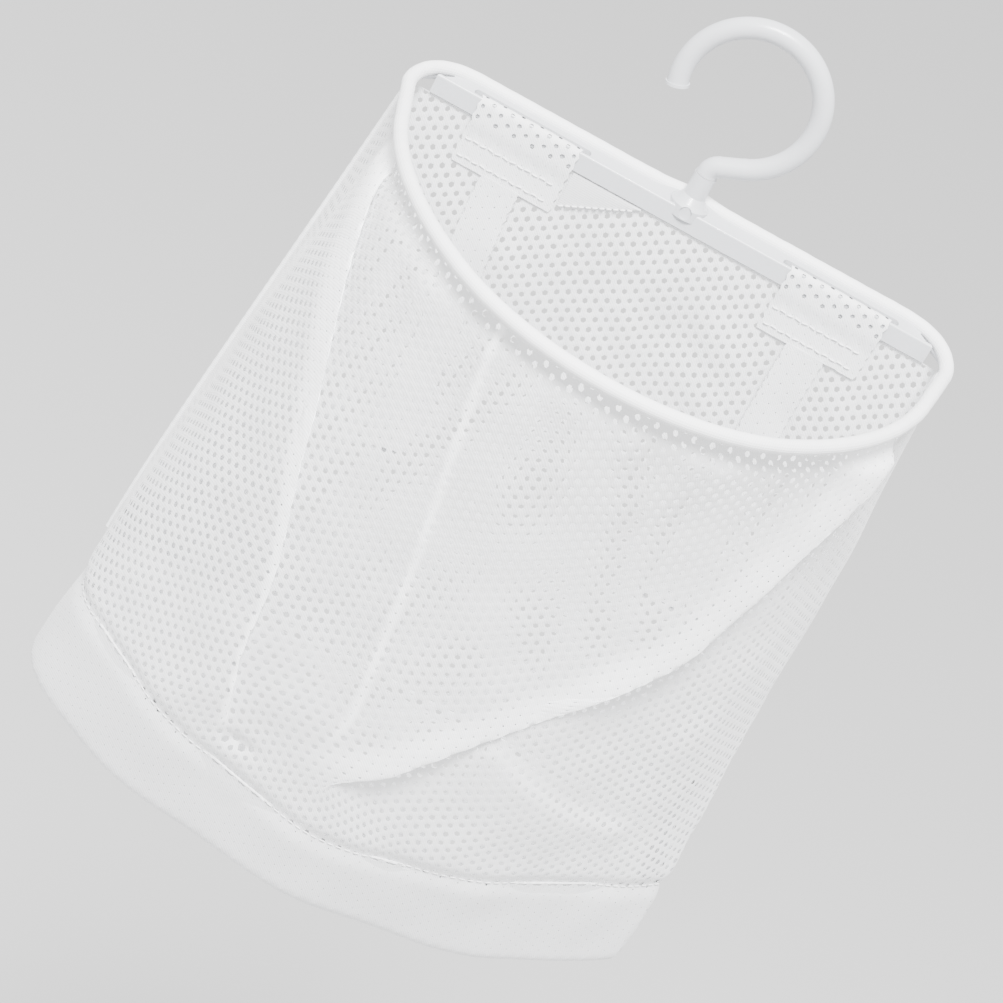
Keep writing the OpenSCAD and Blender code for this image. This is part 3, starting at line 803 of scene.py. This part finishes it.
def hoop_path():
    """The binding's middle line, from behind the bar's middle round the left side and back by the right."""
    corner = arc(CORNER_X, CORNER_Y, HOOP_CORNER, np.pi / 2, -SPLAY, 60)
    flank = arc(HOOP_HALF - FLANK_R, -HOOP_FLANK, FLANK_R, -SPLAY, -MEET, 80)
    nose = arc(0, -HOOP_FLANK - HOOP_NOSE + NOSE_R, NOSE_R, -MEET, -np.pi / 2, 60)
    bar = [[0, corner[0, 1]], [CORNER_X / 2, corner[0, 1]]]
    right = np.concatenate([bar, corner, flank, nose])
    x, y = evenly(np.concatenate([right[:-1] * [-1, 1], right[::-1]]), PATH_POINTS).T
    z = HOOP_Z + REAR_RISE * smooth(y, RISE_FROM, RISE_TO)
    behind_neck = NECK_CLEAR * np.exp(-(x / NECK_REACH) ** 2) * (y > 0)
    return np.stack([x, y + behind_neck, z], -1)


def outwards(path):
    """Level directions square to the path, away from the mouth's middle."""
    along = np.gradient(path, axis=0)
    out = np.stack([along[:, 1], -along[:, 0], 0 * along[:, 0]], -1)
    out /= np.linalg.norm(out, axis=1, keepdims=True)
    return out * np.sign((out * (path - MOUTH_MIDDLE)).sum(1))[:, None]


path = hoop_path()
swell = beads(PATH_POINTS, 0.012, 0.9) + ripple(np.arange(PATH_POINTS) / 12, 0, 1.0, 0.02, seed=13)
below = path + [0, 0, -BINDING_R + 0.1 * MM]
sleeve = tube(path, BINDING_R * swell, 18)
lip = tube(below, 1.1 * MM * swell, 8, flat=0.7)  # the seam's ridge under the sleeve
piece("mouth_binding_tape", *join([sleeve, lip]), tape, "tape", nodes=["mouth_binding"])
seam_line = below + [0, 0, -0.1 * MM] + outwards(path) * 0.75 * MM
piece("mouth_binding_thread", *stitches(seam_line, 2.4 * MM, 1.2 * MM, 0.25 * MM), thread, "thread")

# ---------------------------------------------------------------- bound seams at the rear corners and foot
SIDE_SEAM_POINTS = 160
SIDE_SEAM_R = 1.6 * MM
FOOT_SEAM_POINTS = 200
FOOT_SEAM_R = 1.5 * MM


def side_seam(side):
    """The cord down one rear corner of the bag."""
    t = np.linspace(0, 1, SIDE_SEAM_POINTS)
    x = side * (half_width(t) + BULGE * (1 - t) + 1.2 * MM) - LEAN * t
    if side < 0:
        x += drawn_in(t)
    y = WALL_Y + 0.3 * MM + ripple(t * REAR_H, 0, 45 * MM, 0.5 * MM, seed=14)
    z = REAR_TOP - 3 * MM - (REAR_H - 2 * MM) * t
    radius = SIDE_SEAM_R * beads(SIDE_SEAM_POINTS, 0.05, 2.1)
    return tube(np.stack([x, y, z], -1), radius, up=(0, 1, 0))


def rear_foot_seam():
    """The cord between the rear wall and the bottom."""
    reach = half_width(1.0) - 1.5 * MM
    x = np.linspace(-reach, reach, FOOT_SEAM_POINTS) - LEAN
    z = (seam_lo.z + seam_hi.z) / 2 + ripple(x, 0, 60 * MM, 0.4 * MM, seed=15)
    radius = FOOT_SEAM_R * beads(FOOT_SEAM_POINTS, 0.05, 2.3)
    return tube(np.stack([x, np.full_like(x, WALL_Y), z], -1), radius)


for side, name in SIDES:
    piece(f"side_seam_{name}_tape", *side_seam(side), tape, "tape", nodes=[f"side_seam_{name}"])
piece("rear_foot_seam_tape", *rear_foot_seam(), tape, "tape", nodes=["rear_foot_seam"])

# ---------------------------------------------------------------- tabs over the bar's front lip
TAB_OFF = 1.35 * MM  # from the rear wall's middle to each layer of a tab
TAB_DROP = BAR_BOTTOM - tab_lo.z
TAB_POINTS = 140
TAB_SMOOTHING = 6
TAB_HOLE = 0.36
TAB_HOLE_DOUBLED = 0.07  # below the bar, where the layers lie on each other
STITCH_ROWS = (11 * MM, 20 * MM)  # below the bar's underside
STITCH_MARGIN = 2 * MM
STITCH_WANDER = 0.3 * MM  # how far a row strays from straight
WANDER_PITCH = 900  # radians for each metre along the row


def tab_profile():
    """(y, z) along a tab's middle, from its front end over the lip and through the slot to its back end."""
    face = tab_lo.y + 0.5 * MM
    slot = tab_hi.y - 0.5 * MM
    near = WALL_Y - TAB_OFF
    far = WALL_Y + TAB_OFF
    drop = tab_lo.z
    lip = BAR_TOP - 3.6 * MM
    corners = [(near, drop), (near, BAR_BOTTOM - 14 * MM), (near, BAR_BOTTOM - 8 * MM),
               (face, BAR_BOTTOM - 2 * MM), (face, lip), (face + 0.6 * MM, lip + 1.5 * MM),
               (face + 2.0 * MM, lip + 2.1 * MM), (slot - 0.7 * MM, lip + 1.6 * MM), (slot, lip),
               (slot, BAR_BOTTOM - 3 * MM), (far, BAR_BOTTOM - 9 * MM), (far, drop)]
    corners = np.array(corners)
    line = evenly(corners, TAB_POINTS)
    for _ in range(TAB_SMOOTHING):
        line[1:-1] = (line[:-2] + 2 * line[1:-1] + line[2:]) / 4
    return line, run_lengths(corners)[-1]


profile, TAB_LENGTH = tab_profile()


def tab_hole(x, y):
    return np.where((y < TAB_DROP) | (y > TAB_LENGTH - TAB_DROP), TAB_HOLE_DOUBLED, TAB_HOLE)


def make_tab(side, name):
    """One net tab and the two rows of stitches that close it."""
    across = np.linspace(-TAB_WIDTH / 2, TAB_WIDTH / 2, 30)
    tab = Surface(np.array([[(side * TAB_X + x, y, z) for x in across] for y, z in profile]))

    def on_tab(x, y, lift):
        return tab.at(x / TAB_WIDTH, y / TAB_LENGTH, lift)

    verts, faces, _ = net_mesh(on_tab, TAB_WIDTH, TAB_LENGTH, hole=tab_hole, thick=0.25 * MM, seed=50 + side)
    obj = piece(f"tab_{name}_net", verts, faces, yarn, "net", nodes=[f"tab_{name}"])
    xs = np.linspace(-TAB_WIDTH / 2 + STITCH_MARGIN, TAB_WIDTH / 2 - STITCH_MARGIN, 40)
    ys = np.full_like(xs, WALL_Y - TAB_OFF - 0.55 * MM)
    wander = STITCH_WANDER * np.sin(xs * WANDER_PITCH)
    rows = []
    for below_bar in STITCH_ROWS:
        rows.append(stitches(np.stack([side * TAB_X + xs, ys, BAR_BOTTOM - below_bar + wander], -1)))
    piece(f"tab_{name}_thread", *join(rows), thread, "thread", nodes=[f"tab_stitches_{name}"])


for side, name in SIDES:
    make_tab(side, name)

# ---------------------------------------------------------------- doubled strips below the tabs
STRIP_W = strip_hi.x - strip_lo.x
STRIP_H = strip_hi.z - strip_lo.z
STRIP_DRIFT = {"left": 9 * MM, "right": 2 * MM}  # how far each strip's foot hangs to the right
STRIP_HOLE = 0.09


def make_strip(side, name):
    """One strip of two layers, which lies in front of the rear wall and follows its waves."""
    s, t = share_grid(20, 80)
    x = side * TAB_X + (s - 0.5) * STRIP_W + STRIP_DRIFT[name] * smooth(t, 0, 0.8)
    z = strip_hi.z + 1 * MM - STRIP_H * t
    wall = rear.at(np.clip((x + REAR_W / 2) / REAR_W, 0, 1), (REAR_TOP - z) / REAR_H)[..., 1]
    layers = []
    for layer in (0, 1):
        y = wall - 1.3 * MM - LAYER_GAP * layer - 0.5 * MM * np.sin(np.pi * s)
        strip = Surface(np.stack([x, y, z], -1))

        def on_strip(a, b, lift):
            return strip.at(a / STRIP_W, b / STRIP_H, lift)

        layers.append(net_mesh(on_strip, STRIP_W, STRIP_H, hole=STRIP_HOLE, thick=0.25 * MM,
                               seed=60 + layer + side, shift=0.35 * layer))
    obj = piece(f"strip_{name}_net", *join(layers), yarn, "net", nodes=[f"strip_{name}"])


for side, name in SIDES:
    make_strip(side, name)

# ---------------------------------------------------------------- plain facing by the left tab
FACING_W = face_hi.x - face_lo.x
FACING_H = face_hi.z - face_lo.z
FACING_Y = (face_lo.y + face_hi.y) / 2
FACING_HALF = 0.25 * MM  # half of its thickness
FACING_TAPER = 0.97  # the share of its height that it loses towards the right
# painted shade: how much greyer the facing is made, where it hangs under the bar
FACING_PAINTED_SHADE = 0.2

s, t = share_grid(30, 16)
x = face_lo.x + FACING_W * s
y = FACING_Y - 0.25 * MM * np.sin(np.pi * t)
z = face_hi.z - FACING_H * (1 - FACING_TAPER * s) * t
facing = closed_sheet(np.stack([x, y - FACING_HALF, z], -1), np.stack([x, y + FACING_HALF, z], -1))
obj = piece("hem_facing_tape", *facing, tape, "tape", nodes=["hem_facing"], painted_light=FACING_PAINTED_SHADE)
slant = np.stack([np.linspace(face_lo.x + 1 * MM, face_hi.x - 1 * MM, 20), np.full(20, FACING_Y - 0.7 * MM),
                  np.linspace(face_lo.z + 0.5 * MM, face_hi.z - 1.2 * MM, 20)], -1)
piece("hem_facing_thread", *stitches(slant, 2.2 * MM, 1.0 * MM, 0.4 * MM), thread, "thread")

# ---------------------------------------------------------------- the rear wall's area, worked out and not used
rear.area()

# ---------------------------------------------------------------- stage, light and camera
FLOOR_DROP = 0.9  # below the bag's foot, so that no shadow shows in the view
FLOOR_SIDE = 6
FLOOR_REAR = 12
FLOOR_GREY = (0.53, 0.53, 0.53, 1)
SKY_STRENGTH = 2.1
CENTRE = (0, -0.09, -0.23)  # about the bag's middle, where the lamp points
LENS = 102.8
SENSOR = 36
DISTANCE = 1.30
AROUND = math.radians(2.37)
ABOVE = math.radians(28.7)
ROLL = math.radians(29.77)
AIM = Vector((-0.010318, -0.08, -0.223645))


def add_floor():
    low = front_lo.z - FLOOR_DROP
    corners = [(-FLOOR_SIDE, -FLOOR_SIDE, low), (FLOOR_SIDE, -FLOOR_SIDE, low),
               (FLOOR_SIDE, FLOOR_REAR, low), (-FLOOR_SIDE, FLOOR_REAR, low)]
    mesh = bpy.data.meshes.new("floor")
    mesh.from_pydata(corners, [], [[0, 1, 2, 3]])
    floor = bpy.data.objects.new("floor", mesh)
    bpy.context.scene.collection.objects.link(floor)
    pale = bpy.data.materials.new("pale_floor")
    pale.use_nodes = True
    shader = pale.node_tree.nodes["Principled BSDF"]
    shader.inputs["Base Color"].default_value = FLOOR_GREY
    shader.inputs["Roughness"].default_value = 0.9
    mesh.materials.append(pale)


def add_sky():
    """Soft white light from all round."""
    world = bpy.data.worlds.new("studio")
    bpy.context.scene.world = world
    world.use_nodes = True
    background = world.node_tree.nodes["Background"]
    background.inputs["Color"].default_value = (1, 1, 1, 1)
    background.inputs["Strength"].default_value = SKY_STRENGTH


def add_lamp(name, place, target, size, power):
    data = bpy.data.lights.new(name, "AREA")
    data.size = size
    data.energy = power
    lamp = bpy.data.objects.new(name, data)
    lamp.location = place
    lamp.rotation_mode = "QUATERNION"
    lamp.rotation_quaternion = (Vector(target) - Vector(place)).to_track_quat("-Z", "Y")
    bpy.context.scene.collection.objects.link(lamp)


def add_camera():
    data = bpy.data.cameras.new("camera")
    data.lens = LENS
    data.sensor_width = SENSOR
    camera = bpy.data.objects.new("camera", data)
    bpy.context.scene.collection.objects.link(camera)
    bpy.context.scene.camera = camera
    look = Vector((math.sin(AROUND) * math.cos(ABOVE), math.cos(AROUND) * math.cos(ABOVE), -math.sin(ABOVE)))
    roll = Matrix.Rotation(ROLL, 3, "Z").to_quaternion()
    camera.location = AIM - look * DISTANCE
    camera.rotation_mode = "QUATERNION"
    camera.rotation_quaternion = look.to_track_quat("-Z", "Y") @ roll


add_floor()
add_sky()
add_lamp("key", (-0.15, -1.7, 2.4), CENTRE, size=0.9, power=430)
add_camera()
